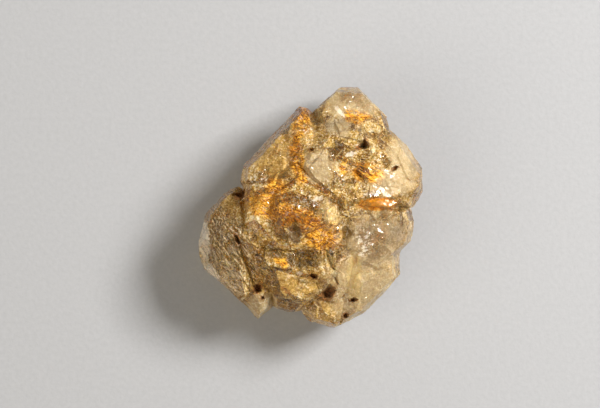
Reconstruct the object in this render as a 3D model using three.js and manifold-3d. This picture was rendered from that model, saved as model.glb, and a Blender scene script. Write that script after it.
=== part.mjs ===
// A skeletal quartz: short, doubly terminated quartz crystals grown together side by side into one
// compact lump, with their long axes nearly parallel. Small crystals and growth terraces stand a
// little proud of its faces, grooves run where two crystals meet, and open pits lead into the hollows
// of the growth. Units are millimetres. +Z is up, the crystals' long axis runs along Y, and the origin
// is at the middle of the lump's box, on the surface that it rests on.
import * as THREE from "three";
import { ConvexGeometry } from "three/addons/geometries/ConvexGeometry.js";
import { mergeVertices } from "three/addons/utils/BufferGeometryUtils.js";
import Module from "manifold-3d";

const wasm = await Module();
wasm.setup();

// The large crystals that make up the lump, the resting core first. outline is the widest section
// seen from above, clockwise, at about the height level. Below it the crystal draws in to foot, and
// above it to a top face at the height top, which leans by slope along X and Y. bevel is the least and
// most width that the pyramid faces take off the rim of the top.
const CRYSTALS = {
  core: {
    level: 9, foot: 0, top: 20.6, slope: [0, 0.03], bevel: [1, 4],
    outline: [[-2, 14.5], [9, 17], [16, 9], [17, 0], [14.5, -9], [4, -18], [-9, -15], [-16, -8], [-14, 1]],
  },
  leftPeak: {
    level: 10.5, foot: 3, top: 20.2, slope: [0.1, -0.16], bevel: [0.4, 1.8],
    outline: [[-2, 18], [-0.5, 17.7], [0.5, 16.5], [3.5, 10], [3.5, 0], [-10, 0], [-12.5, 4.5], [-12, 7.5]],
  },
  rightPeak: {
    level: 10, foot: 3.5, top: 18.6, slope: [-0.08, -0.16], bevel: [0.6, 2.6],
    outline: [[0.5, 17], [5.5, 21.7], [8.5, 21.6], [13.5, 16.5], [14.2, 13.5], [13.5, 5], [2.5, 5]],
  },
  rightBulge: {
    level: 10.5, foot: 2.5, top: 20.6, slope: [-0.22, -0.08], bevel: [0.8, 3],
    outline: [[14, 14], [17.5, 10.8], [20, 7], [20, 2.5], [18.5, 0], [6, -1], [4.5, 7.5], [10, 14.3]],
  },
  windowCrystal: {
    level: 10, foot: 4, top: 20.8, slope: [-0.2, 0.04], bevel: [0.8, 3],
    outline: [[17.8, 0.5], [18.5, -3], [18, -6], [15.5, -8.5], [10, -13], [4.5, -10], [4.5, 0.5], [9, 2]],
  },
  lowerRight: {
    level: 9.5, foot: 2, top: 19.4, slope: [-0.2, 0.24], bevel: [1.5, 5],
    outline: [[16, -8], [16, -12], [13, -15.5], [9.5, -19], [5.5, -21], [2.5, -16], [3.5, -5], [13.5, -5]],
  },
  bottomTip: {
    level: 8.5, foot: 3, top: 16.4, slope: [0.02, 0.26], bevel: [0.6, 2],
    outline: [[5.5, -21], [4, -21.7], [0, -20.5], [-1.5, -19], [-2.5, -15], [0, -10.5], [6, -11], [8, -18]],
  },
  lowerMiddle: {
    level: 9, foot: 4, top: 19.2, slope: [0.03, 0.22], bevel: [0.8, 2.6],
    outline: [[-2, -18.7], [-4, -18.8], [-6.7, -17.8], [-8.7, -14], [-9.5, -7], [4, -7], [4, -15]],
  },
  lowerLeftTip: {
    level: 8.6, foot: 3.5, top: 16.6, slope: [0.1, 0.2], bevel: [0.4, 1.6],
    outline: [[-7, -18], [-9.5, -20], [-12.3, -17], [-13, -12], [-8.7, -10], [-5, -14]],
  },
  leftShoulder: {
    level: 9.8, foot: 2.5, top: 18.9, slope: [0.24, 0.08], bevel: [1.2, 4],
    outline: [
      [-12.3, -17], [-19, -11], [-20, -8.5], [-20, -6], [-19, -1.5], [-15.5, 2.5], [-13, 3.7], [-7.5, 0.5],
      [-7.5, -7], [-8.5, -14.5],
    ],
  },
  crown: {
    level: 14, foot: 8, top: 22.6, slope: [0.05, 0.04], bevel: [0.8, 2.6],
    outline: [[-12, 4], [-2.5, 8.5], [4.5, 4.5], [6, -3.5], [3, -9], [-8.5, -8], [-13, -3]],
  },
  centre: {
    level: 18, foot: 10, top: 23.8, slope: [-0.09, 0.05], bevel: [0.8, 2.4],
    outline: [[-8, 1.5], [-2, 4], [4.5, 1], [5, -5], [-1, -7], [-7, -5]],
  },
  paleFace: {
    level: 14, foot: 8, top: 22.2, slope: [-0.1, -0.05], bevel: [0.6, 2.2],
    outline: [[-1.5, 11.8], [7, 11.5], [14.5, 6.5], [13.5, 0.5], [5.5, -2], [-0.6, 2.6], [-3.6, 7.4]],
  },
  lens: {
    level: 17, foot: 12, top: 21.6, slope: [-0.06, 0.05], bevel: [0.1, 0.4],
    outline: [[8, 0.5], [10.5, 1.5], [14.2, 1.6], [15.4, 0.7], [13.5, -0.5], [9.5, -0.3]],
  },
};

// The flat faces on each side of a large crystal, in degrees from upright: the prism face's lean above
// its upright part, the pyramid face below and the pyramid face round the top. UPRIGHT is how far the
// upright part reaches above and below the level.
const LEAN = { above: [6, 15], below: [28, 46], rim: [40, 58] };
const UPRIGHT = [0, 4];

// The height of everything but the resting face above the surface below.
const REST_CLEARANCE = 0.35;

// The form of a small quartz crystal: six prism faces, and six pyramid faces at each end whose
// normals stand at a fixed angle to the long axis. No two of its faces are quite equal.
const SIDES = 6;
const PYRAMID_ANGLE = THREE.MathUtils.degToRad(51.79);
const FACE_SPREAD = 0.16;

// The small crystals that grew on the large ones: how many are spread over the top and round the
// flanks, their radius, their half length as a share of it, how far they stand proud of the face
// below, and how far they lean out of line, in degrees. None reaches out of the lump's own form
// enlarged by the limit. FIELD is the half width and half length of the top that they are spread
// over, and the lowest and highest place on the flanks, and CREST_DEPTH is how far below its highest
// corner a small crystal's crest reaches.
const SMALL = { above: 42, flanks: 22, radius: [2.6, 6.6], slender: [1.15, 1.6], proud: [0.25, 1], lean: 13 };
const SMALL_LIMIT = [1, 1, 1.06];
const FIELD = { x: 18, y: 19.5, low: 3, high: 16 };
const CREST_DEPTH = 0.5;
const GOLDEN_ANGLE = Math.PI * (3 - Math.sqrt(5));

// Open pits in the top: the middle of the mouth, its length and width, the angle of its length from
// X in degrees, the depth, and the number of sides where it isn't PIT_SIDES. Each is wider above by
// the taper and narrower below.
const PITS = [
  { x: 9.2, y: 10.7, long: 2.2, wide: 3.1, turn: -64, deep: 3.4, sides: 3 },
  { x: -12.9, y: -5.9, long: 2.6, wide: 1.1, turn: -65, deep: 2.6 },
  { x: -9.4, y: -14.5, long: 2, wide: 1.6, turn: 60, deep: 2.6 },
  { x: -8.5, y: -16.1, long: 0.9, wide: 0.8, turn: 10, deep: 1.2 },
  { x: 0.5, y: -12.3, long: 1.8, wide: 1.2, turn: -20, deep: 1.6 },
  { x: 3, y: -15.4, long: 3.6, wide: 2.4, turn: 38, deep: 2.6 },
  { x: 7.5, y: -16.5, long: 1.6, wide: 1, turn: 15, deep: 1.3 },
  { x: 6.2, y: -19.3, long: 1.2, wide: 0.9, turn: 40, deep: 1.2 },
  { x: 0.1, y: 10, long: 1.2, wide: 0.8, turn: 30, deep: 1.2 },
  { x: 14.9, y: 6.8, long: 1.7, wide: 0.8, turn: 40, deep: 1.5 },
  { x: -12.6, y: 2.1, long: 2.4, wide: 1.6, turn: 35, deep: 1.6 },
  { x: 8.5, y: 5.5, long: 2.8, wide: 1.1, turn: -44, deep: 1 },
  { x: -2.7, y: -5, long: 4, wide: 2.4, turn: 105, deep: 0.8 },
];
const PIT_SIDES = 5;
const PIT_TAPER = 0.3;

// Grooves along which two crystals meet: from one end to the other in plan, the half width and the
// depth.
const GROOVES = [
  { from: [-12.6, -7], to: [-9.8, -14.8], wide: 0.8, deep: 1 },
  { from: [-2.6, 12.4], to: [-1.4, 4.6], wide: 0.5, deep: 0.5 },
  { from: [2.6, -7.6], to: [4.8, -13.8], wide: 0.6, deep: 0.7 },
  { from: [-8.6, -7.3], to: [1.8, -8.1], wide: 0.4, deep: 0.4 },
];

// Shallow shells broken out of the edges: the middle and the radius of the ball that fits each.
const CHIPS = [
  { at: [8.6, 23.6, 17], radius: 3.6 },
  { at: [20.6, 0.2, 16.8], radius: 3.2 },
  { at: [-20.4, -8.6, 16.4], radius: 3.6 },
  { at: [16.8, -15.6, 15.4], radius: 3.8 },
  { at: [-14.8, 8.4, 17.4], radius: 3.2 },
  { at: [-17.8, -12.8, 4], radius: 4.4 },
  { at: [19.8, -9.8, 4.2], radius: 4.2 },
  { at: [-8.6, 15.8, 4], radius: 4.6 },
  { at: [14.6, 18.8, 4.6], radius: 4.2 },
  { at: [-1.6, -22.4, 5], radius: 3.8 },
];

// Somewhere well outside the lump, and the height of its middle.
const OUTSIDE = 60;
const MID_HEIGHT = 11;

// A repeatable stream of numbers from 0 to 1, for the irregularity of natural growth.
function stream(seed) {
  let state = seed;
  return () => {
    state = (state + 0x6d2b79f5) | 0;
    let mixed = Math.imul(state ^ (state >>> 15), 1 | state);
    mixed = (mixed + Math.imul(mixed ^ (mixed >>> 7), 61 | mixed)) ^ mixed;
    return ((mixed ^ (mixed >>> 14)) >>> 0) / 4294967296;
  };
}

// A number between two limits.
function between([low, high], random) {
  return low + (high - low) * random();
}

// A closed geometry as a solid that can be joined and cut.
function solidOf(geometry) {
  const bare = geometry.clone();
  bare.deleteAttribute("normal");
  bare.deleteAttribute("uv");
  const merged = mergeVertices(bare, 1e-5);
  return new wasm.Manifold(
    new wasm.Mesh({
      numProp: 3,
      vertProperties: merged.attributes.position.array,
      triVerts: new Uint32Array(merged.index.array),
    }),
  );
}

// A solid as a geometry again.
function geometryOf(solid) {
  const mesh = solid.getMesh();
  const geometry = new THREE.BufferGeometry();
  geometry.setAttribute("position", new THREE.BufferAttribute(mesh.vertProperties, 3));
  geometry.setIndex(new THREE.BufferAttribute(mesh.triVerts, 1));
  return geometry;
}

// The mean of some points, found in a zero vector of their kind.
function middleOf(points, zero) {
  return points.reduce((sum, point) => sum.add(point), zero).divideScalar(points.length);
}

// What would reach below a height.
function below(height) {
  const block = new THREE.BoxGeometry(2 * OUTSIDE, 2 * OUTSIDE, OUTSIDE);
  return solidOf(block.translate(0, 0, height - OUTSIDE / 2));
}

// The point that three planes share, or null where two of them are nearly parallel.
function meetingPoint(a, b, c) {
  const across = new THREE.Vector3().crossVectors(b.normal, c.normal);
  const volume = a.normal.dot(across);
  if (Math.abs(volume) < 1e-6) return null;
  return across
    .multiplyScalar(-a.constant)
    .addScaledVector(new THREE.Vector3().crossVectors(c.normal, a.normal), -b.constant)
    .addScaledVector(new THREE.Vector3().crossVectors(a.normal, b.normal), -c.constant)
    .divideScalar(volume);
}

// The corners where three of the planes meet and no other plane cuts them off.
function cornersOf(planes) {
  const corners = [];
  const inside = (point) => planes.every((plane) => plane.distanceToPoint(point) < 1e-6);
  for (let i = 0; i < planes.length; i++)
    for (let j = i + 1; j < planes.length; j++)
      for (let k = j + 1; k < planes.length; k++) {
        const point = meetingPoint(planes[i], planes[j], planes[k]);
        if (!point || !inside(point)) continue;
        if (corners.every((corner) => corner.distanceTo(point) > 1e-4)) corners.push(point);
      }
  return corners;
}

// One large crystal: on each side an upright prism face, faces that lean in above and below it, and a
// pyramid face along the rim of the top.
function crystalSolid({ outline, level, foot, top, slope, bevel }, random) {
  const rim = outline.map(([x, y]) => new THREE.Vector3(x, y, 0));
  const middle = middleOf(rim, new THREE.Vector3());
  const planes = [new THREE.Plane(new THREE.Vector3(0, 0, -1), foot)];
  const addPlane = (normal, point) => {
    planes.push(new THREE.Plane().setFromNormalAndCoplanarPoint(normal.normalize(), point));
  };
  addPlane(new THREE.Vector3(-slope[0], -slope[1], 1), middle.clone().setZ(top));
  rim.forEach((corner, index) => {
    const next = rim[(index + 1) % rim.length];
    const half = corner.clone().lerp(next, 0.5);
    const out = new THREE.Vector3(corner.y - next.y, next.x - corner.x, 0).normalize();
    const addFace = (degrees, inward, height) => {
      const rise = Math.tan(THREE.MathUtils.degToRad(degrees));
      addPlane(out.clone().setZ(rise), half.clone().addScaledVector(out, -inward).setZ(height));
    };
    const shoulder = level + between(UPRIGHT, random);
    const lean = between(LEAN.above, random);
    const drawn = (top - shoulder) * Math.tan(THREE.MathUtils.degToRad(lean)) + between(bevel, random);
    const way = half.clone().addScaledVector(out, -drawn).sub(middle);
    addFace(0, 0, level);
    addFace(lean, 0, shoulder);
    addFace(-between(LEAN.below, random), 0, level - between(UPRIGHT, random));
    addFace(between(LEAN.rim, random), drawn, top + way.x * slope[0] + way.y * slope[1]);
  });
  return solidOf(new ConvexGeometry(cornersOf(planes))).subtract(below(foot ? REST_CLEARANCE : 0));
}

// The corners of a small crystal of quartz round its own middle.
function smallCorners(radius, half, random) {
  const unequal = () => 1 - FACE_SPREAD * random();
  const planes = [];
  for (let side = 0; side < SIDES; side++) {
    const angle = (side / SIDES) * 2 * Math.PI;
    const out = new THREE.Vector3(Math.sin(angle), 0, Math.cos(angle));
    planes.push(new THREE.Plane(out, -radius * Math.cos(Math.PI / SIDES) * unequal()));
    for (const end of [1, -1]) {
      const normal = out.clone().multiplyScalar(Math.sin(PYRAMID_ANGLE)).setY(end * Math.cos(PYRAMID_ANGLE));
      planes.push(new THREE.Plane(normal, -half * Math.cos(PYRAMID_ANGLE) * unequal()));
    }
  }
  return cornersOf(planes);
}

// One small crystal, standing a little proud of the face that it grew on.
function smallSolid({ point, face }, random) {
  const lean = () => THREE.MathUtils.degToRad(SMALL.lean) * (2 * random() - 1);
  const radius = between(SMALL.radius, random);
  const turn = new THREE.Euler(lean(), lean(), lean());
  const corners = smallCorners(radius, radius * between(SMALL.slender, random), random);
  for (const corner of corners) corner.applyEuler(turn);
  const reach = Math.max(...corners.map((corner) => corner.dot(face.normal)));
  const crest = corners.filter((corner) => corner.dot(face.normal) > reach - CREST_DEPTH);
  const middle = middleOf(crest, new THREE.Vector3());
  const rise = between(SMALL.proud, random) - reach + middle.dot(face.normal);
  const shift = point.clone().sub(middle).addScaledVector(face.normal, rise);
  return solidOf(new ConvexGeometry(corners)).translate(shift.toArray()).subtract(below(REST_CLEARANCE));
}

// Where a line from outside first meets the lump, if it does.
function surfaceAt(mesh, from, direction) {
  return new THREE.Raycaster(from, direction).intersectObject(mesh)[0];
}

// The place on the lump's top above a point of its plan.
function topAt(mesh, x, y) {
  return surfaceAt(mesh, new THREE.Vector3(x, y, OUTSIDE), new THREE.Vector3(0, 0, -1));
}

// The small crystals, spread evenly over the top of the lump and round its flanks.
function smallSolids(mesh) {
  const random = stream(5);
  const places = [];
  for (let i = 0; i < SMALL.above; i++) {
    const out = Math.sqrt((i + 0.5) / SMALL.above);
    const angle = i * GOLDEN_ANGLE;
    places.push(topAt(mesh, out * Math.cos(angle) * FIELD.x, out * Math.sin(angle) * FIELD.y));
  }
  for (let i = 0; i < SMALL.flanks; i++) {
    const height = THREE.MathUtils.lerp(FIELD.low, FIELD.high, (i + 0.5) / SMALL.flanks);
    const inward = new THREE.Vector3(-Math.cos(i * GOLDEN_ANGLE), -Math.sin(i * GOLDEN_ANGLE), 0);
    places.push(surfaceAt(mesh, inward.clone().multiplyScalar(-OUTSIDE).setZ(height), inward));
  }
  return places.filter((place) => place).map((place) => smallSolid(place, random));
}

// A pit: a tapering hole, as long and wide as stated where it meets the top.
function pitSolid(mesh, { x, y, long, wide, turn, deep, sides = PIT_SIDES }) {
  const hole = new THREE.CylinderGeometry(0.5 + PIT_TAPER, 0.5 - PIT_TAPER, 2 * deep, sides);
  hole.rotateX(Math.PI / 2).scale(long, wide, 1).rotateZ(THREE.MathUtils.degToRad(turn));
  return solidOf(hole.translate(x, y, topAt(mesh, x, y).point.z));
}

// A groove: a wedge with its sharp edge along the line below the top.
function grooveSolid(mesh, { from, to, wide, deep }) {
  const points = [];
  for (const [x, y] of [from, to]) {
    const end = topAt(mesh, x, y).point;
    const side = new THREE.Vector3(from[1] - to[1], to[0] - from[0], 0).setLength(wide);
    points.push(end.clone().setZ(end.z - deep));
    points.push(end.clone().add(side).setZ(end.z + deep), end.clone().sub(side).setZ(end.z + deep));
  }
  return solidOf(new ConvexGeometry(points));
}

const growth = stream(3);
const large = Object.values(CRYSTALS).map((crystal) => crystalSolid(crystal, growth));
const block = large.reduce((joined, solid) => joined.add(solid));
const limit = block.translate([0, 0, -MID_HEIGHT]).scale(SMALL_LIMIT).translate([0, 0, MID_HEIGHT]);
const small = smallSolids(new THREE.Mesh(geometryOf(block))).reduce((joined, solid) => joined.add(solid));
const grown = block.add(small.intersect(limit));

const surface = new THREE.Mesh(geometryOf(grown));
const cuts = [
  ...PITS.map((pit) => pitSolid(surface, pit)),
  ...GROOVES.map((groove) => grooveSolid(surface, groove)),
  ...CHIPS.map(({ at, radius }) => solidOf(new THREE.IcosahedronGeometry(radius, 2).translate(...at))),
];
const worn = cuts.reduce((left, cut) => left.subtract(cut), grown);

// One piece, with nothing sealed inside it and no crumb broken off.
const skin = worn.decompose().reduce((a, b) => (b.volume() > a.volume() ? b : a));
const geometry = geometryOf(skin);
geometry.computeBoundingBox();
const middle = geometry.boundingBox.getCenter(new THREE.Vector3());
geometry.translate(-middle.x, -middle.y, -geometry.boundingBox.min.z);

const quartz = new THREE.Mesh(
  geometry,
  new THREE.MeshStandardMaterial({ color: 0xd2b583, roughness: 0.12, metalness: 0 }),
);
quartz.name = "quartz_crystals";

const specimen = new THREE.Group();
specimen.add(quartz);

export default specimen;
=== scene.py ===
"""The looks of a skeletal quartz: one honey-coloured lump of clear and clouded crystal, with ochre
films inside it, brown clay in its open pits, and fine growth steps over its faces."""

import math
import random

import bmesh
import bpy
from mathutils import Matrix, Vector, noise
from mathutils.bvhtree import BVHTree


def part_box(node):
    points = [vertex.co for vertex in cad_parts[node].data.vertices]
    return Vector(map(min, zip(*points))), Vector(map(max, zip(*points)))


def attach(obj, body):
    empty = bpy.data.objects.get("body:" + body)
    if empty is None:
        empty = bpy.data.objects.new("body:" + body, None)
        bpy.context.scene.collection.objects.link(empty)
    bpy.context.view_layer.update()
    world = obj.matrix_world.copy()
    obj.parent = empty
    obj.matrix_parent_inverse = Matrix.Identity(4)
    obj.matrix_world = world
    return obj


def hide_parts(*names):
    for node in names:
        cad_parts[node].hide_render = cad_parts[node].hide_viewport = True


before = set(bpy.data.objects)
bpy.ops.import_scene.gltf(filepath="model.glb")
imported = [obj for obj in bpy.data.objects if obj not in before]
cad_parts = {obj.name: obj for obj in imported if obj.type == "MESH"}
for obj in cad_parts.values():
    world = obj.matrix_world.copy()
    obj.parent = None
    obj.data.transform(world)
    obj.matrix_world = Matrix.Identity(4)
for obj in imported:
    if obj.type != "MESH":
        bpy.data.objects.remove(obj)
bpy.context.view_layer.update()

# Sizes are in metres, written as millimetres times MM. Turns and leans are in degrees.
MM = 0.001

# The patterns that move the surface start from here, so each run gives the same stone.
PATTERN_SEED = 3

# The stone's skin: the depth of the grid that it is remade on, the share of that grid that it takes up,
# how near two corners of the solid count as one, how many rounds of mending it gets at most, and the
# angle past which an edge stays sharp.
SKIN_DEPTH = 8
SKIN_SHARE = 0.66
SAME_CORNER = 0.001
MENDING_ROUNDS = 10
SHARP_ANGLE = 12

# The small crystal faces on the skin: the width of one, how steeply it leans, and how far it may move
# the skin.
SMALL_FACES = (
    {"width": 2.6, "lean": 0.08, "most": 0.12},
    {"width": 0.8, "lean": 0.20, "most": 0.06},
)

# The growth steps on the skin: their width and height, the width of their bends, the width of the zones
# that they fade out between, and how far they reach into the bare zones.
STEP_WIDTH = 0.9
STEP_HEIGHT = 0.05
STEP_BEND = 3.0
STEP_ZONE = 6.0
STEP_REACH = 0.3

# Factors that set neighbouring faces so far apart in a pattern that each gets a lean, a rise and a tone
# of its own, and the share of the tone that comes from the direction that a face looks in. That share is
# painted shade, alike on parallel faces as light makes it; the rest is random tone.
LEAN_SPREAD = 7.3
RISE_SPREAD = 3.1
DIRECTION_SPREAD = 3.0
CELL_SPREAD = 9.0
DIRECTION_SHADE_SHARE = 0.6
# The attribute that holds each face's painted shade and random tone.
FACE_SHADE_AND_TONE = "face_tone"

# Patches of the stone seen from above, in millimetres: the middle x and y, the half width and half
# length, and the turn.
ORANGE_PATCHES = (
    (1.6, -5.2, 3.6, 2.6, 0),
    (-2.4, -2.2, 5.0, 1.9, -18),
    (-8.2, 0.4, 4.4, 2.6, -20),
    (-6.0, 3.4, 2.2, 1.4, 0),
    (-2.4, 8.2, 1.2, 4.4, 8),
    (-5.1, -9.8, 1.7, 0.6, -25),
    (8.0, 15.8, 2.3, 1.4, 0),
    (9.6, 5.8, 3.0, 1.8, -20),
    (5.6, 6.4, 0.8, 1.9, 0),
    (-1.8, 15.6, 1.8, 3.0, 0),
)
BROWN_PATCHES = (
    (-1.9, 15.0, 2.2, 3.4, 0),
    (13.6, 12.8, 2.4, 2.2, 0),
    (-12.4, 1.2, 2.8, 2.4, 30),
    (3.4, -15.2, 3.6, 2.6, 30),
    (-8.4, -14.8, 3.0, 2.4, 0),
    (-5.8, 7.2, 4.2, 3.2, 0),
    (0.8, -12.2, 2.2, 1.6, 0),
    (-4.6, -14.0, 3.4, 2.2, 0),
    (8.6, 5.4, 1.8, 0.9, -44),
)
PALE_PATCHES = (
    (1.2, 6.8, 3.2, 3.2, 0),
    (9.2, -14.2, 7.0, 6.4, 0),
    (-8.8, -17.6, 2.8, 2.4, 0),
    (7.4, 18.2, 5.2, 4.0, 0),
    (16.8, 8.8, 3.2, 4.4, 0),
    (12.0, -6.0, 6.8, 5.6, 0),
    (14.4, 4.2, 4.6, 2.6, 0),
    (4.8, 14.2, 2.4, 2.0, 0),
)
GOLDEN_PATCHES = (
    (17.6, 5.4, 3.4, 6.4, 0),
    (2.0, -19.0, 4.6, 3.2, 0),
    (-1.6, 12.2, 3.2, 4.0, 0),
    (-5.8, 8.6, 4.6, 4.0, 0),
    (-2.6, -13.8, 4.0, 2.4, 0),
)
YELLOW_PATCHES = (
    (3.2, -1.2, 2.0, 2.4, 0),
    (7.6, -12.4, 1.3, 5.0, 0),
)
# Orange patches that are painted a touch lighter where they lie in shade and a touch darker where they are
# lit.
SHADED_ORANGE = ((-4.0, 0.0, 5.4, 3.2, -15),)
LIT_ORANGE = ((2.2, -5.6, 3.2, 2.4, 0),)
# Dark grey patches; over the left crystal the grey is also painted shade.
GREY_AND_SHADE_PATCHES = (
    (-6.4, -8.2, 1.7, 1.1, 0),
    (6.3, -4.6, 1.2, 1.3, 0),
    (15.9, -1.6, 0.45, 1.8, 5),
    (-1.6, -9.4, 4.6, 1.5, 0),
    (-15.6, -5.6, 4.2, 7.4, 20),
)
CLEAR_PATCHES = (
    (13.0, -5.4, 5.2, 4.6, 0),
    (8.2, 20.0, 3.4, 2.2, 0),
    (19.2, 5.0, 1.8, 5.4, 0),
)
OCHRE_BARS = (
    (-5.1, -9.8, 1.6, 0.5, -25),
    (1.8, -5.4, 3.0, 1.9, 0),
    (-1.4, -2.6, 3.6, 0.9, -14),
    (-6.4, -1.8, 2.8, 0.9, -28),
    (-2.5, 11.4, 0.7, 1.6, 0),
    (-2.7, 8.0, 0.65, 2.0, -5),
    (-1.7, 5.2, 0.7, 1.6, 40),
)
LENS = ((11.7, 0.4, 3.7, 1.15, 2),)
GREY_WINDOW = ((-2.8, -4.8, 1.3, 2.0, 15),)
# White bars: mostly painted glints, with pale rims along the left crystal's edge.
GLINT_AND_RIM_BARS = (
    (5.1, 16.8, 0.4, 1.4, 40),
    (10.3, 2.1, 1.1, 0.2, 0),
    (7.0, 9.2, 1.2, 0.45, 8),
    (-19.0, -6.2, 1.2, 4.2, 4),
    (-17.6, -11.4, 0.8, 2.4, 42),
    (-1.9, -11.8, 0.5, 0.35, 0),
)
# White patches: painted glints, with pale spots and a net of pale lines.
WHITE_AND_GLINT_PATCHES = (
    (9.2, -6.2, 1.8, 3.0, 0),
    (-0.6, 13.6, 1.0, 1.0, 0),
    (-9.3, 5.0, 2.2, 1.2, -20),
    (0.5, 0.9, 2.2, 1.3, 0),
    (-2.0, -7.9, 1.6, 0.3, 0),
    (13.6, 2.4, 3.0, 0.7, 0),
)
PITS = (
    (8.7, 10.5, 1.2, 0.5, 28),
    (9.6, 11.0, 0.5, 1.0, -3),
    (-12.9, -5.9, 1.5, 0.5, -65),
    (-9.4, -14.5, 1.1, 0.8, 60),
    (-8.5, -16.1, 0.5, 0.4, 10),
    (0.5, -12.3, 0.9, 0.5, -20),
    (3.0, -15.4, 1.8, 1.1, 38),
    (7.5, -16.5, 0.9, 0.4, 15),
    (6.2, -19.3, 0.6, 0.5, 40),
    (0.1, 9.9, 0.6, 0.35, 30),
    (14.8, 6.7, 0.9, 0.3, 32),
    (-12.6, 2.1, 1.3, 0.7, 35),
    (14.1, -0.5, 0.4, 0.3, 0),
    (-4.3, -14.8, 1.1, 0.35, -40),
)
LEFT_CRYSTAL = ((-15.4, -7.4, 4.6, 8.6, 25),)

# How far out from its middle a patch is whole, and how far out it ends, as shares of its half size. A
# patch is so tall that only its plan counts.
SOFT_EDGE = (0.65, 1.25)
PIT_EDGE = (0.85, 1.1)
BAR_EDGE = (0.75, 1.1)
HALO_EDGE = (1.0, 2.3)
PATCH_HEIGHT = 1000

# Places that wander from the true one, for uneven edges: the width of the bends and their reach, in
# millimetres.
WANDERINGS = {
    "loose": (2.2, 3.0),
    "near": (0.9, 1.2),
    "jagged": (0.5, 1.0),
}
WANDERING_DETAIL = 3

# Cloudy patterns, from about 0.3 to 0.7: the place that each is drawn on, how far apart its lumps lie,
# in millimetres, and its detail and roughness.
CLOUDS = {
    "fine": ("true", 0.8, 5, 0.7),
    "lumps": ("true", 3.2, 4, 0.6),
    "cloud": ("loose", 1.7, 5, 0.65),
    "grain": ("true", 0.32, 3, 0.7),
    "beds": ("loose", 6.0, 3, 0.5),
}
PATTERN_MIDDLE = 0.5

# Patterns drawn out along a direction of the plan: its turn, and how far apart their lumps lie along it
# and across it, in millimetres.
STREAKS = {
    "drawn": (-32, 3.0, 0.20),
    "level": (2, 4.0, 0.25),
    "grown": (-53, 7.0, 0.34),
}
STREAK_DETAIL = 4
STREAK_ROUGHNESS = 0.6

# Mixtures of the patterns, as the share of each.
MIXTURES = {
    "tan_tone": {"fine": 0.35, "lumps": 0.15, "drawn": 0.2, "grain": 0.3},
    "ochre_tone": {"drawn": 0.4, "level": 0.3, "fine": 0.15, "grain": 0.15},
    "milkiness": {"cloud": 0.7, "grain": 0.3},
    "flecks": {"level": 0.3, "fine": 0.7},
    "ridges": {"drawn": 0.5, "fine": 0.5},
    "roughening": {"fine": 0.5, "level": 0.5},
}

# Marks where a pattern runs high or low: the pattern, where a mark begins and where it is whole.
MARKS = {
    "ochre_clouds": ("cloud", 0.35, 0.50),
    "low_growth": ("grown", 0.50, 0.43),
    "high_growth": ("grown", 0.51, 0.57),
    "low_grain": ("grain", 0.45, 0.37),
    "high_grain": ("grain", 0.55, 0.62),
    "brown_clouds": ("fine", 0.56, 0.42),
    "halo_clouds": ("cloud", 0.56, 0.44),
    "veiled_lumps": ("lumps", 0.48, 0.58),
    "white_and_glint_flecks": ("flecks", 0.50, 0.57),
    "clay_ridges": ("ridges", 0.44, 0.60),
    "clay_cover": ("fine", 0.44, 0.54),
    "dull_spots": ("fine", 0.5, 0.7),
}

# The zones of the quartz: the place that each is drawn on, its patches and their edge.
ZONES = {
    "orange": ("loose", ORANGE_PATCHES, SOFT_EDGE),
    "brown": ("loose", BROWN_PATCHES, SOFT_EDGE),
    "pale": ("loose", PALE_PATCHES, SOFT_EDGE),
    "golden": ("loose", GOLDEN_PATCHES, SOFT_EDGE),
    "yellow": ("near", YELLOW_PATCHES, SOFT_EDGE),
    "shaded": ("loose", SHADED_ORANGE, SOFT_EDGE),
    "lit": ("loose", LIT_ORANGE, SOFT_EDGE),
    "grey_and_shade": ("near", GREY_AND_SHADE_PATCHES, SOFT_EDGE),
    "clear": ("loose", CLEAR_PATCHES, SOFT_EDGE),
    "white_and_glints": ("near", WHITE_AND_GLINT_PATCHES, SOFT_EDGE),
    "left": ("loose", LEFT_CRYSTAL, SOFT_EDGE),
    "bars": ("jagged", OCHRE_BARS, BAR_EDGE),
    "lens": ("jagged", LENS, BAR_EDGE),
    "window": ("jagged", GREY_WINDOW, BAR_EDGE),
    "glint_and_rim_bars": ("jagged", GLINT_AND_RIM_BARS, BAR_EDGE),
    "pits": ("jagged", PITS, PIT_EDGE),
    "halo": ("near", PITS, HALO_EDGE),
}

# The stone's sides: the heights that they begin at and are whole below, in millimetres, and the marks
# that take the place of the zones there.
SIDES_BEGIN = 12
SIDES_WHOLE = 7
SIDE_MARKS = {
    "orange": ("beds", 0.55, 0.62),
    "brown": ("beds", 0.46, 0.40),
    "pale": ("lumps", 0.48, 0.56),
}

# The tan and ochre of the quartz, from the lowest tone to the highest.
TAN_STOPS = (
    (0.40, (0.22, 0.105, 0.012)),
    (0.47, (0.59, 0.345, 0.058)),
    (0.53, (0.84, 0.585, 0.185)),
    (0.60, (0.95, 0.870, 0.660)),
)
OCHRE_STOPS = (
    (0.42, (0.18, 0.055, 0.002)),
    (0.46, (0.64, 0.235, 0.006)),
    (0.51, (0.98, 0.430, 0.018)),
    (0.57, (1.00, 0.640, 0.090)),
)

# How the zones shift those tones: how far pale quartz draws the tan to one tone, how much stronger the
# pattern of the ochre is, and what is added for the painted shade of a face, which pale quartz weakens.
EVEN_TAN = 0.53
PALE_EVENNESS = 0.45
OCHRE_CONTRAST = 1.5
TAN_SHIFTS = {"facet_shade_and_tone": 0.1}
# The shaded orange is painted a touch lighter and the lit orange a touch darker, against the shading.
OCHRE_SHIFTS = {"facet_shade_and_tone": 0.06, "shaded": 0.008, "lit": -0.02}
PALE_FACET_SHADE_LOSS = 0.6

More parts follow.
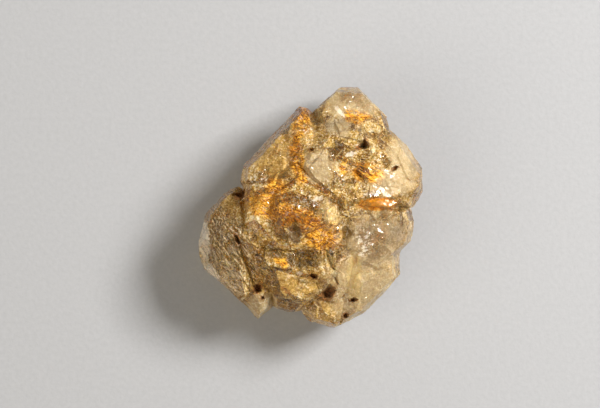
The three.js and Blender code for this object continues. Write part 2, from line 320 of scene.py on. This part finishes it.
# Layers of colour over the tan, the first below and the last on top: the share that shows where a layer
# is whole, and its colour. The ochre lies between the two lists.
LOWER_LAYERS = {
    "golden": (0.6, (0.74, 0.47, 0.12)),
    "pale": (0.7, (0.53, 0.435, 0.285)),
    "yellow": (0.8, (0.92, 0.70, 0.30)),
    # Dark grey, which over the left crystal is also painted shade.
    "grey_and_shade": (0.9, (0.15, 0.080, 0.010)),
    "dark_lines": (0.8, (0.06, 0.032, 0.010)),
    "light_lines": (0.7, (0.78, 0.61, 0.37)),
}
UPPER_LAYERS = {
    "lens_core": (1.0, (0.82, 0.31, 0.015)),
    "window": (0.95, (0.15, 0.095, 0.04)),
    "dark_specks": (1.0, (0.10, 0.045, 0.010)),
    # Light specks: partly painted sparkle, partly pale grain.
    "sparkle_and_pale_specks": (1.0, (0.96, 0.92, 0.80)),
    "umber": (0.6, (0.19, 0.08, 0.008)),
    # The top layer holds the veil lines and the painted glints.
    "veils_and_glints": (0.8, (0.92, 0.85, 0.72)),
}

# How strong specks, veils with their painted glints and the lens's core are, and what each zone adds to the
# specks.
LENS_CORE = 0.35
DARK_SPECKS = 0.34
DARK_SPECK_SHIFTS = {"pale": -0.28}
# The light specks are partly painted sparkle, partly pale grain.
SPARKLE_AND_PALE_SPECKS = 0.6
SPARKLE_AND_PALE_SPECK_SHIFTS = {"window": -0.5, "stain": -0.5, "grey_and_shade": -0.4, "brown": -0.36, "pale": -0.38}
VEIL_WIDTH = 1.6
VEIL_EDGE = (0.035, 0.008)
VEIL_STRENGTH = 0.5
GLINT_AND_RIM_STRENGTH = 0.9

# How cloudy the quartz is, from clear to milky: the middle, the strength of the pattern, what pale quartz
# takes off it, the strength of the growth lines in the left crystal, what each zone adds, and the limits.
CLOUDINESS = 0.64
MILKY_CONTRAST = 3.2
PALE_CONTRAST_LOSS = 2.0
GROWTH_CONTRAST = 2.6
CLOUDINESS_SHIFTS = {
    "facet_shade_and_tone": 0.3,
    "pale": 0.14,
    "golden": 0.1,
    "stain": 0.15,
    "window": 0.3,
    "umber": 0.2,
    "veils_and_glints": 0.3,
    "clear": -0.32,
    "under": -0.15,
}
CLEAREST = 0.06
CLOUDIEST = 0.92

# The shaders of the quartz and of the clay in its pits, with what stays the same all over.
QUARTZ_IOR = 1.544
POLISH = {"Specular IOR Level": 0.2, "IOR": QUARTZ_IOR, "Coat Roughness": 0.04, "Coat IOR": QUARTZ_IOR}
CLOUDED = {
    "Transmission Weight": 0.15,
    "Coat Weight": 0.2,
    "Subsurface Weight": 0.25,
    "Subsurface Radius": (1.0, 0.6, 0.3),
    "Subsurface Scale": 1.2 * MM,
}
MILKY = {
    "Roughness": 0.35,
    "Coat Weight": 0.15,
    "Subsurface Weight": 0.85,
    "Subsurface Radius": (1.0, 0.8, 0.55),
    "Subsurface Scale": 2.2 * MM,
}
GLASSY = {"IOR": QUARTZ_IOR, "Transmission Weight": 1.0}
CLAY = {"Roughness": 0.85}
CLOUDED_ROUGHNESS = 0.30
CLOUDED_ROUGHER = 0.35
GLASSY_ROUGHNESS = 0.03
GLASSY_ROUGHER = 0.15
MILKY_SHARE = 0.6
YELLOW_GLASS = (0.97, 0.86, 0.50)
WHITE_GLASS = (0.99, 0.96, 0.90)
DARK_CLAY = (0.07, 0.026, 0.005)
LIGHT_CLAY = (0.46, 0.20, 0.05)
CLAY_COVER = 0.5
BUMP_STRENGTH = 0.08
BUMP_HEIGHT = 0.08
BODY_COLOUR = (0.985, 0.855, 0.43)
BODY_DENSITY = 60.0

# What is sealed in the quartz: the random draws' start, the patches that the films lie below, or none for
# everywhere, how many there are, their half length, half width and half thickness and how deep they lie,
# in millimetres, the directions of the plan that they are drawn out along, and their finish.
FILMS = {
    "milky_veils": {
        "seed": 11,
        "within": (),
        "count": 520,
        "long": (0.6, 2.6),
        "wide": (0.03, 0.18),
        "thick": 0.02,
        "deep": (0.12, 2.4),
        "turns": (2, -32, 45, -58),
        "finish": ("milky_veil", (0.92, 0.74, 0.44), (1.0, 0.95, 0.82), 0.4),
    },
    "ochre_films": {
        "seed": 12,
        "within": ORANGE_PATCHES,
        "count": 420,
        "long": (0.5, 2.4),
        "wide": (0.05, 0.3),
        "thick": 0.02,
        "deep": (0.10, 1.4),
        "turns": (-32, -32, -24, 4),
        "finish": ("ochre_film", (0.60, 0.20, 0.015), (0.98, 0.54, 0.07), 0.5),
    },
    "growth_lines": {
        "seed": 14,
        "within": LEFT_CRYSTAL,
        "count": 150,
        "long": (0.9, 3.0),
        "wide": (0.03, 0.10),
        "thick": 0.02,
        "deep": (0.10, 1.2),
        "turns": (-53,),
        "finish": ("growth_line", (0.80, 0.60, 0.32), (1.0, 0.94, 0.78), 0.3),
    },
    "clay_specks": {
        "seed": 13,
        "within": BROWN_PATCHES,
        "count": 90,
        "long": (0.2, 0.7),
        "wide": (0.1, 0.35),
        "thick": 0.08,
        "deep": (0.15, 1.6),
        "turns": (-32, 20, 70),
        "finish": ("clay_speck", (0.03, 0.01, 0.003), (0.22, 0.09, 0.025), 0.7),
    },
}

# How far a film may lean from the surface above it and turn from its direction, the quartz that covers it
# at least, how far its edges wander and over what width, in millimetres, how many sides it has, how much
# narrower its top is, and the share of the veils that is missing in pale quartz.
FILM_LEAN = 16
FILM_TURN = 7
FILM_COVER = 0.06
FILM_WANDER = 0.12
FILM_WANDER_WIDTH = 0.9
FILM_SIDES = (5, 8)
FILM_TAPER = 0.85
PALE_SHARE = 0.88

# The spots on a film: how far apart they lie, in millimetres, their detail and roughness, where they
# begin and are whole, and how much duller they are.
SPOT_WIDTH = 0.9
SPOT_DETAIL = 4
SPOT_ROUGHNESS = 0.65
SPOT_EDGE = (0.36, 0.62)
SPOT_DULLNESS = 0.2

# The floor: its half size in metres, and its grain.
FLOOR_SIZE = 3
FLOOR_DARK = (0.365, 0.380, 0.410)
FLOOR_LIGHT = (0.45, 0.465, 0.50)
FLOOR_ROUGHNESS = 0.85
FLOOR_GRAIN = 0.8
FLOOR_GRAIN_DETAIL = 4
FLOOR_GRAIN_ROUGHNESS = 0.6
FLOOR_BUMP_STRENGTH = 0.3
FLOOR_BUMP_HEIGHT = 0.15

# The lights: where each stands and its size, in metres, its power and its colour.
LAMPS = {
    "key_light": ((0.38, 0.20, 0.45), 0.20, 5.8, (1.0, 0.96, 0.90)),
    "fill_light": ((-0.45, -0.30, 0.45), 0.6, 2.1, (1.0, 0.90, 0.74)),
}
SKY_COLOUR = (1.0, 0.93, 0.82)
SKY_STRENGTH = 0.25
LIGHT_BOUNCES = 20
GLASS_BOUNCES = 16

# The photograph's frame: its size in pixels, the millimetres that one pixel covers at the stone's widest
# section, the point that lies in its middle, and the height of that section. Then the camera's lens and
# sensor, in millimetres, and the nearest and farthest it sees, in metres.
FRAME_WIDTH = 600
MM_PER_PIXEL = 0.18
FRAME_MIDDLE = (-1.9, 0.6)
WIDEST_HEIGHT = 10
CAMERA_ELEVATION = 89
FOCAL_LENGTH = 135
SENSOR = 36
NEAREST = 0.01
FARTHEST = 10


class Value:
    """A node's output. Sums on it add the Math nodes that work them out."""

    def __init__(self, sheet, socket):
        self.sheet = sheet
        self.socket = socket

    def __add__(self, other):
        return self.sheet.math("ADD", self, other)

    def __sub__(self, other):
        return self.sheet.math("SUBTRACT", self, other)

    def __mul__(self, other):
        return self.sheet.math("MULTIPLY", self, other)

    def __rsub__(self, other):
        return self.sheet.math("SUBTRACT", other, self)


class Sheet:
    """The node sheet of one material."""

    def __init__(self, name):
        self.material = bpy.data.materials.new(name)
        self.material.use_nodes = True
        self.tree = self.material.node_tree
        self.tree.nodes.clear()

    def node(self, kind, settings, sockets, output=0):
        """Adds a node, with its settings, then its sockets' values or links, and gives one output."""
        made = self.tree.nodes.new("ShaderNode" + kind)
        for key, value in settings.items():
            if key == "stops":
                self.set_stops(made.color_ramp, value)
            else:
                setattr(made, key, value)
        for key, value in sockets.items():
            if isinstance(value, Value):
                self.tree.links.new(value.socket, made.inputs[key])
            else:
                made.inputs[key].default_value = value
        return Value(self, made.outputs[output]) if made.outputs else None

    def set_stops(self, ramp, stops):
        while len(ramp.elements) < len(stops):
            ramp.elements.new(1)
        for element, (place, colour) in zip(ramp.elements, stops):
            element.position = place
            element.color = opaque(colour)

    def math(self, operation, first, second):
        return self.node("Math", {"operation": operation}, {0: first, 1: second})

    def most(self, first, second):
        return self.math("MAXIMUM", first, second)

    def mix_colour(self, share, first, second):
        settings = {"data_type": "RGBA", "clamp_factor": True}
        return self.node("Mix", settings, {"Factor": share, 6: first, 7: second}, 2)

    def mix_shader(self, share, first, second):
        return self.node("MixShader", {}, {0: share, 1: first, 2: second})

    def ramp(self, tone, stops):
        return self.node("ValToRGB", {"stops": stops}, {"Fac": tone})

    def step(self, value, low, high):
        """0 where value is under low and 1 where it is over high, or the reverse, with a soft change."""
        settings = {"interpolation_type": "SMOOTHSTEP", "clamp": True}
        return self.node("MapRange", settings, {"Value": value, "From Min": low, "From Max": high})

    def noise(self, place, width, detail, roughness):
        """A cloudy pattern with its lumps about width metres apart."""
        sockets = {"Vector": place, "Scale": 1 / width, "Detail": detail, "Roughness": roughness}
        return self.node("TexNoise", {}, sockets)

    def true_place(self):
        return self.node("TexCoord", {}, {}, "Object")

    def bump(self, strength, distance, height):
        sockets = {"Strength": strength, "Distance": distance, "Height": height}
        return self.node("Bump", {}, sockets, "Normal")

    def principled(self, *parts):
        """A Principled shader with the sockets that several tables set."""
        sockets = {}
        for part in parts:
            sockets.update(part)
        return self.node("BsdfPrincipled", {}, sockets)

    def output(self, **sockets):
        """Ends the sheet and gives its material."""
        self.node("OutputMaterial", {}, sockets)
        return self.material


def opaque(colour):
    return (*colour, 1)


def patch(sheet, place, oval, edge):
    """1 inside an oval patch seen from above, falling to 0 past its edge."""
    x, y, half_wide, half_long, turn = oval
    sockets = {
        "Vector": place,
        "Location": (x * MM, y * MM, 0),
        "Rotation": (0, 0, math.radians(turn)),
        "Scale": (half_wide * MM, half_long * MM, PATCH_HEIGHT),
    }
    local = sheet.node("Mapping", {"vector_type": "TEXTURE"}, sockets)
    out = sheet.node("VectorMath", {"operation": "LENGTH"}, {0: local}, "Value")
    return sheet.step(out, edge[1], edge[0])


def patches(sheet, place, ovals, edge):
    """The union of several oval patches."""
    found = patch(sheet, place, ovals[0], edge)
    for oval in ovals[1:]:
        found = sheet.most(found, patch(sheet, place, oval, edge))
    return found


def wandering(sheet, place, width, reach):
    """A place moved by a cloudy pattern, so that what is drawn there has uneven edges."""
    sockets = {"Vector": place, "Scale": 1 / width, "Detail": WANDERING_DETAIL}
    cloud = sheet.node("TexNoise", {}, sockets, "Color")
    middle = (PATTERN_MIDDLE,) * 3
    centred = sheet.node("VectorMath", {"operation": "SUBTRACT"}, {0: cloud, 1: middle})
    moved = sheet.node("VectorMath", {"operation": "SCALE"}, {0: centred, "Scale": reach})
    return sheet.node("VectorMath", {"operation": "ADD"}, {0: place, 1: moved})


def streaks(sheet, place, turn, along, across):
    """A cloudy pattern drawn out along one direction seen from above."""
    sockets = {
        "Vector": place,
        "Rotation": (0, 0, math.radians(turn)),
        "Scale": (along * MM, across * MM, across * MM),
    }
    local = sheet.node("Mapping", {"vector_type": "TEXTURE"}, sockets)
    return sheet.noise(local, 1, STREAK_DETAIL, STREAK_ROUGHNESS)


def shifted(start, seen, shares):
    """A value with the shares of several patterns or zones added to it."""
    for name, share in shares.items():
        start = seen[name] * share + start
    return start


def quartz_patterns(sheet):
    """The places, patterns, mixtures and marks that the quartz is drawn with, by name."""
    seen = {"true": sheet.true_place()}
    for name, (width, reach) in WANDERINGS.items():
        seen[name] = wandering(sheet, seen["true"], width * MM, reach * MM)
    for name, (place, width, detail, roughness) in CLOUDS.items():
        seen[name] = sheet.noise(seen[place], width * MM, detail, roughness)
    for name, (turn, along, across) in STREAKS.items():
        seen[name] = streaks(sheet, seen["true"], turn, along, across)
    for name, shares in MIXTURES.items():
        seen[name] = shifted(0, seen, shares)
    for name, (pattern, low, high) in MARKS.items():
        seen[name] = sheet.step(seen[pattern], low, high)
    return seen


def add_zones(sheet, seen):
    """Adds the zones of the quartz, and the painted shade of each crystal face, to what is seen."""
    for name, (place, ovals, edge) in ZONES.items():
        seen[name] = patches(sheet, seen[place], ovals, edge)
    height = sheet.node("SeparateXYZ", {}, {0: seen["loose"]}, "Z")
    seen["under"] = sheet.step(height, SIDES_BEGIN * MM, SIDES_WHOLE * MM)
    seen["top"] = 1 - seen["under"]
    for name, (pattern, low, high) in SIDE_MARKS.items():
        side = seen["under"] * sheet.step(seen[pattern], low, high)
        seen[name] = seen[name] * seen["top"] + side
    seen["golden"] = seen["golden"] * seen["top"]
    # Each face's painted shade, from the direction that it looks in, with some random tone.
    tone = sheet.node("Attribute", {"attribute_name": FACE_SHADE_AND_TONE}, {}, "Fac")
    seen["facet_shade_and_tone"] = (tone - PATTERN_MIDDLE) * (1 - seen["pale"] * PALE_FACET_SHADE_LOSS)


def add_layers(sheet, seen):
    """Adds the stain, lines, specks, umber, and veils with painted glints of the quartz to what is seen."""
    bars = sheet.most(seen["bars"], seen["lens"]) * seen["top"]
    seen["stain"] = sheet.most(seen["orange"] * seen["ochre_clouds"], bars)
    seen["lens_core"] = seen["lens"] * (seen["drawn"] + LENS_CORE)
    seen["dark_lines"] = seen["left"] * seen["low_growth"]
    seen["light_lines"] = seen["left"] * seen["high_growth"]
    seen["dark_specks"] = seen["low_grain"] * shifted(DARK_SPECKS, seen, DARK_SPECK_SHIFTS)
    # Light specks: partly painted sparkle, partly pale grain.
    seen["sparkle_and_pale_specks"] = seen["high_grain"] * shifted(SPARKLE_AND_PALE_SPECKS, seen, SPARKLE_AND_PALE_SPECK_SHIFTS)
    umber = seen["brown"] * seen["brown_clouds"]
    seen["umber"] = sheet.most(umber, seen["halo"] * seen["halo_clouds"])
    cells = {"Vector": seen["near"], "Scale": 1 / (VEIL_WIDTH * MM)}
    rim = sheet.node("TexVoronoi", {"feature": "DISTANCE_TO_EDGE"}, cells, "Distance")
    # Veil lines, with painted glints from the white patches and bars laid over them.
    veils_and_glints = sheet.step(rim, *VEIL_EDGE) * seen["veiled_lumps"] * VEIL_STRENGTH
    veils_and_glints = sheet.most(veils_and_glints, seen["white_and_glints"] * seen["white_and_glint_flecks"])
    seen["veils_and_glints"] = sheet.most(veils_and_glints, seen["glint_and_rim_bars"] * GLINT_AND_RIM_STRENGTH)


def painted(sheet, seen, coloured, layers):
    for name, (share, colour) in layers.items():
        coloured = sheet.mix_colour(seen[name] * share, coloured, opaque(colour))
    return coloured


def quartz_colour(sheet, seen):
    """The colour of clouded quartz, layer over layer."""
    tan = seen["tan_tone"]
    tan = tan + (EVEN_TAN - tan) * (seen["pale"] * PALE_EVENNESS)
    tan = shifted(tan, seen, TAN_SHIFTS)
    ochre = (seen["ochre_tone"] - PATTERN_MIDDLE) * OCHRE_CONTRAST + PATTERN_MIDDLE
    ochre = shifted(ochre, seen, OCHRE_SHIFTS)
    coloured = painted(sheet, seen, sheet.ramp(tan, TAN_STOPS), LOWER_LAYERS)
    coloured = sheet.mix_colour(seen["stain"], coloured, sheet.ramp(ochre, OCHRE_STOPS))
    return painted(sheet, seen, coloured, UPPER_LAYERS)


def quartz_cloudiness(sheet, seen):
    """0 where the quartz is clear and 1 where it is clouded."""
    contrast = MILKY_CONTRAST - seen["pale"] * PALE_CONTRAST_LOSS
    cloudy = (seen["milkiness"] - PATTERN_MIDDLE) * contrast + CLOUDINESS
    cloudy = cloudy + (seen["grown"] - PATTERN_MIDDLE) * (seen["left"] * GROWTH_CONTRAST)
    cloudy = shifted(cloudy, seen, CLOUDINESS_SHIFTS)
    return sheet.node("Clamp", {}, {"Value": cloudy, "Min": CLEAREST, "Max": CLOUDIEST})


def quartz_material():
    """Clear and clouded quartz, stained with ochre, with brown clay in its pits."""
    sheet = Sheet("quartz")
    seen = quartz_patterns(sheet)
    add_zones(sheet, seen)
    add_layers(sheet, seen)
    coloured = quartz_colour(sheet, seen)
    bumped = {"Normal": sheet.bump(BUMP_STRENGTH, BUMP_HEIGHT * MM, seen["roughening"])}

    clouded_look = {"Base Color": coloured, "Roughness": seen["fine"] * CLOUDED_ROUGHER + CLOUDED_ROUGHNESS}
    clouded = sheet.principled(POLISH, CLOUDED, clouded_look, bumped)
    milky = sheet.principled(POLISH, MILKY, {"Base Color": coloured}, bumped)
    glass_colour = sheet.mix_colour(seen["pale"], opaque(YELLOW_GLASS), opaque(WHITE_GLASS))
    dullness = seen["dull_spots"] * GLASSY_ROUGHER + GLASSY_ROUGHNESS
    glassy = sheet.principled(GLASSY, {"Base Color": glass_colour, "Roughness": dullness}, bumped)
    clay_colour = sheet.mix_colour(seen["clay_ridges"], opaque(DARK_CLAY), opaque(LIGHT_CLAY))
    clay = sheet.principled(CLAY, {"Base Color": clay_colour}, bumped)

    clouded = sheet.mix_shader(seen["pale"] * MILKY_SHARE, clouded, milky)
    stone = sheet.mix_shader(quartz_cloudiness(sheet, seen), glassy, clouded)
    filled = seen["pits"] * (seen["clay_cover"] * (1 - CLAY_COVER) + CLAY_COVER)
    stone = sheet.mix_shader(filled, stone, clay)
    body = {"Color": opaque(BODY_COLOUR), "Density": BODY_DENSITY}
    return sheet.output(Surface=stone, Volume=sheet.node("VolumeAbsorption", {}, body))


def add_object(name, mesh):
    made = bpy.data.objects.new(name, mesh)
    bpy.context.scene.collection.objects.link(made)
    return made


def mesh_from(bm, name):
    mesh = bpy.data.meshes.new(name)
    bm.to_mesh(mesh)
    bm.free()
    return mesh


def mend_pinches(skin):
    """Cuts out the places where a skin touches itself, and closes each hole that this leaves."""
    bm = bmesh.new()
    bm.from_mesh(skin)
    for _ in range(MENDING_ROUNDS):
        pinched = [vert for vert in bm.verts if not vert.is_manifold or vert.is_boundary]
        if not pinched:
            break
        around = {face: None for vert in pinched for face in vert.link_faces}
        bmesh.ops.delete(bm, geom=list(around), context="FACES")
        loose = [vert for vert in bm.verts if not vert.link_faces]
        bmesh.ops.delete(bm, geom=loose, context="VERTS")
        rims = [edge for edge in bm.edges if edge.is_boundary]
        filled = bmesh.ops.holes_fill(bm, edges=rims, sides=0)["faces"]
        bmesh.ops.triangulate(bm, faces=filled)
    bm.to_mesh(skin)
    bm.free()


def remade(source, name):
    """A copy of a node as one closed skin of small even faces."""
    bm = bmesh.new()
    bm.from_mesh(source.data)
    bmesh.ops.remove_doubles(bm, verts=bm.verts, dist=SAME_CORNER * MM)
    rough = add_object(name, mesh_from(bm, name))
    remesh = rough.modifiers.new("skin", "REMESH")
    remesh.mode = "SHARP"
    remesh.octree_depth = SKIN_DEPTH
    remesh.scale = SKIN_SHARE
    remesh.use_remove_disconnected = True
    bpy.context.view_layer.update()
    worked_out = rough.evaluated_get(bpy.context.evaluated_depsgraph_get())
    skin = bpy.data.meshes.new_from_object(worked_out)
    rough.modifiers.clear()
    mend_pinches(skin)
    rough.data = skin
    return rough


def small_face_at(place, width):
    """The middle of the small crystal face at a place, in widths of such a face."""
    return noise.voronoi(place / width)[1][0]


def small_face_rise(place, width, lean, most):
    """How far a small crystal face stands above or below the surface at a place, in millimetres."""
    cell = small_face_at(place, width)
    tilt = noise.noise_vector(cell * LEAN_SPREAD) * lean
    rise = (place - cell * width).dot(tilt) + most * noise.noise(cell * RISE_SPREAD)
    return max(-most, min(most, rise))


def growth_step(place):
    """The height of the fine steps that run across the crystals, in millimetres."""
    along = (place.y + noise.noise(place / STEP_BEND)) / STEP_WIDTH
    strength = max(0, noise.noise(place / STEP_ZONE) + STEP_REACH)
    return STEP_HEIGHT * strength * (along - math.floor(along) - 0.5)


def skin_tree(thing):
    """A tree that finds the nearest place on a piece's surface."""
    places = [vert.co for vert in thing.data.vertices]
    return BVHTree.FromPolygons(places, [face.vertices for face in thing.data.polygons])


def shade_and_tone_faces(stone, source):
    """Paints the skin over each flat crystal face a shade of its own, alike where faces are parallel, with
    random tone mixed in.
    """
    faces = skin_tree(source)
    tones = stone.data.attributes.new(FACE_SHADE_AND_TONE, "FLOAT", "FACE")
    for face, tone in zip(stone.data.polygons, tones.data):
        _, normal, _, _ = faces.find_nearest(face.center)
        cell = small_face_at(face.center / MM, SMALL_FACES[0]["width"])
        painted_shade_by_direction = DIRECTION_SHADE_SHARE * noise.cell(normal * DIRECTION_SPREAD)
        tone.value = painted_shade_by_direction + (1 - DIRECTION_SHADE_SHARE) * noise.cell(cell * CELL_SPREAD)


def grow_small_faces(stone):
    """Moves the skin in and out by the small crystal faces and growth steps, but not below the floor."""
    bm = bmesh.new()
    bm.from_mesh(stone.data)
    bm.normal_update()
    moves = []
    for vert in bm.verts:
        place = vert.co / MM
        rise = sum(small_face_rise(place, **faces) for faces in SMALL_FACES)
        rise += growth_step(place)
        moves.append(vert.normal * rise * MM)
    for vert, move in zip(bm.verts, moves):
        vert.co += move
        vert.co.z = max(vert.co.z, 0)
    bm.to_mesh(stone.data)
    bm.free()


def make_quartz():
    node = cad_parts["quartz_crystals"]
    stone = remade(node, "quartz_stone")
    shade_and_tone_faces(stone, node)
    grow_small_faces(stone)
    for face in stone.data.polygons:
        face.use_smooth = True
    stone.data.set_sharp_from_angle(angle=math.radians(SHARP_ANGLE))
    stone.data.materials.clear()
    stone.data.materials.append(quartz_material())
    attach(stone, "root")
    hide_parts("quartz_crystals")
    return stone


def in_patches(x, y, ovals):
    """Whether a point of the plan lies in one of several oval patches."""
    for middle_x, middle_y, half_wide, half_long, turn in ovals:
        across = Vector((x - middle_x, y - middle_y, 0))
        across.rotate(Matrix.Rotation(-math.radians(turn), 3, "Z"))
        if (across.x / half_wide) ** 2 + (across.y / half_long) ** 2 < 1:
            return True
    return False


def film_wanted(middle, ovals, dice):
    """Whether a film may lie at a place. Films that lie everywhere are rare in pale quartz."""
    x, y, _ = middle / MM
    if in_patches(x, y, GREY_WINDOW):
        return False
    if ovals:
        return in_patches(x, y, ovals)
    return not (in_patches(x, y, PALE_PATCHES) and dice.random() < PALE_SHARE)


def laid(normal, turn, dice):
    """A turn that lays a film along the surface above it, drawn out along a direction of the plan."""
    lean = math.radians(FILM_LEAN)
    up = normal + Vector((dice.gauss(0, lean), dice.gauss(0, lean), dice.gauss(0, lean)))
    up.normalize()
    heading = math.radians(dice.gauss(turn, FILM_TURN))
    along = Vector((math.cos(heading), math.sin(heading), 0))
    along = (along - up * along.dot(up)).normalized()
    return Matrix((along, up.cross(along), up)).transposed().to_4x4()


def sunk(skin, place):
    """How deep a place lies below the stone's surface, or less than nothing outside it."""
    nearest, normal, _, distance = skin.find_nearest(place)
    return distance if (nearest - place).dot(normal) > 0 else -distance


def add_film(bm, middle, normal, film, dice):
    """Adds one thin film with an uneven edge, and gives its corners."""
    long, wide = (dice.uniform(*film[key]) * MM for key in ("long", "wide"))
    size = Matrix.Diagonal((long, wide, 2 * film["thick"] * MM, 1))
    place = Matrix.Translation(middle) @ laid(normal, dice.choice(film["turns"]), dice) @ size
    sides = dice.randint(*FILM_SIDES)
    corners = bmesh.ops.create_cone(
        bm, cap_ends=True, segments=sides, radius1=1, radius2=FILM_TAPER, depth=1, matrix=place
    )["verts"]
    for vert in corners:
        vert.co += noise.noise_vector(vert.co / (FILM_WANDER_WIDTH * MM)) * FILM_WANDER * MM
    return corners


def make_films(stone, name, film):
    """Many small thin films that lie in the quartz, below its surface."""
    dice = random.Random(film["seed"])
    skin = skin_tree(stone)
    low, high = (Vector(corner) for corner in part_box("quartz_crystals"))
    shallow, deep = (limit * MM for limit in film["deep"])
    bm = bmesh.new()
    left = film["count"]
    while left:
        middle = Vector(dice.uniform(a, b) for a, b in zip(low, high))
        if not film_wanted(middle, film["within"], dice):
            continue
        if not shallow < sunk(skin, middle) < deep:
            continue
        _, normal, _, _ = skin.find_nearest(middle)
        corners = add_film(bm, middle, normal, film, dice)
        if any(sunk(skin, vert.co) < FILM_COVER * MM for vert in corners):
            bmesh.ops.delete(bm, geom=corners, context="VERTS")
            continue
        left -= 1
    films = add_object(name, mesh_from(bm, name))
    films.data.materials.append(film_material(*film["finish"]))
    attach(films, "root")


def film_material(name, dark, light, roughness):
    """The finish of films sealed in the quartz, uneven in colour."""
    sheet = Sheet(name)
    pattern = sheet.noise(sheet.true_place(), SPOT_WIDTH * MM, SPOT_DETAIL, SPOT_ROUGHNESS)
    spots = sheet.step(pattern, *SPOT_EDGE)
    colour = sheet.mix_colour(spots, opaque(dark), opaque(light))
    look = {"Base Color": colour, "Roughness": spots * SPOT_DULLNESS + roughness}
    return sheet.output(Surface=sheet.principled(look))


def floor_material():
    sheet = Sheet("floor")
    width = FLOOR_GRAIN * MM
    grain = sheet.noise(sheet.true_place(), width, FLOOR_GRAIN_DETAIL, FLOOR_GRAIN_ROUGHNESS)
    look = {
        "Base Color": sheet.mix_colour(grain, opaque(FLOOR_DARK), opaque(FLOOR_LIGHT)),
        "Roughness": FLOOR_ROUGHNESS,
        "Normal": sheet.bump(FLOOR_BUMP_STRENGTH, FLOOR_BUMP_HEIGHT * MM, grain),
    }
    return sheet.output(Surface=sheet.principled(look))


def make_floor():
    """A plain pale floor."""
    bm = bmesh.new()
    bmesh.ops.create_grid(bm, x_segments=1, y_segments=1, size=FLOOR_SIZE)
    floor = add_object("floor", mesh_from(bm, "floor"))
    floor.data.materials.append(floor_material())


def make_lamp(name, place, size, power, colour):
    """A square soft light that faces the stone."""
    light = bpy.data.lights.new(name, "AREA")
    light.size = size
    light.energy = power
    light.color = colour
    lamp = add_object(name, light)
    lamp.location = place
    facing = Vector((0, 0, WIDEST_HEIGHT * MM)) - Vector(place)
    lamp.rotation_euler = facing.to_track_quat("-Z", "Y").to_euler()


def make_lights():
    for name, lamp in LAMPS.items():
        make_lamp(name, *lamp)
    world = bpy.data.worlds.new("studio")
    world.use_nodes = True
    sky = world.node_tree.nodes["Background"]
    sky.inputs["Color"].default_value = opaque(SKY_COLOUR)
    sky.inputs["Strength"].default_value = SKY_STRENGTH
    bpy.context.scene.world = world


def set_light_paths():
    """Plain colours, and enough bounces for light to pass through the clear quartz."""
    scene = bpy.context.scene
    scene.view_settings.view_transform = "Standard"
    scene.cycles.max_bounces = LIGHT_BOUNCES
    scene.cycles.transmission_bounces = GLASS_BOUNCES


def make_camera():
    """A camera that sees the stone's widest section at the photograph's scale."""
    data = bpy.data.cameras.new("camera")
    data.lens = FOCAL_LENGTH
    data.sensor_width = SENSOR
    data.clip_start = NEAREST
    data.clip_end = FARTHEST
    camera = add_object("camera", data)
    distance = FRAME_WIDTH * MM_PER_PIXEL * MM * FOCAL_LENGTH / SENSOR
    target = Vector((FRAME_MIDDLE[0] * MM, FRAME_MIDDLE[1] * MM, WIDEST_HEIGHT * MM))
    up = math.radians(CAMERA_ELEVATION)
    back = Vector((0, -math.cos(up), math.sin(up)))
    camera.location = target + back * distance
    camera.rotation_mode = "QUATERNION"
    camera.rotation_quaternion = (-back).to_track_quat("-Z", "Y")
    bpy.context.scene.camera = camera


noise.seed_set(PATTERN_SEED)
quartz = make_quartz()
for film_name, film_values in FILMS.items():
    make_films(quartz, film_name, film_values)
make_floor()
make_lights()
set_light_paths()
make_camera()
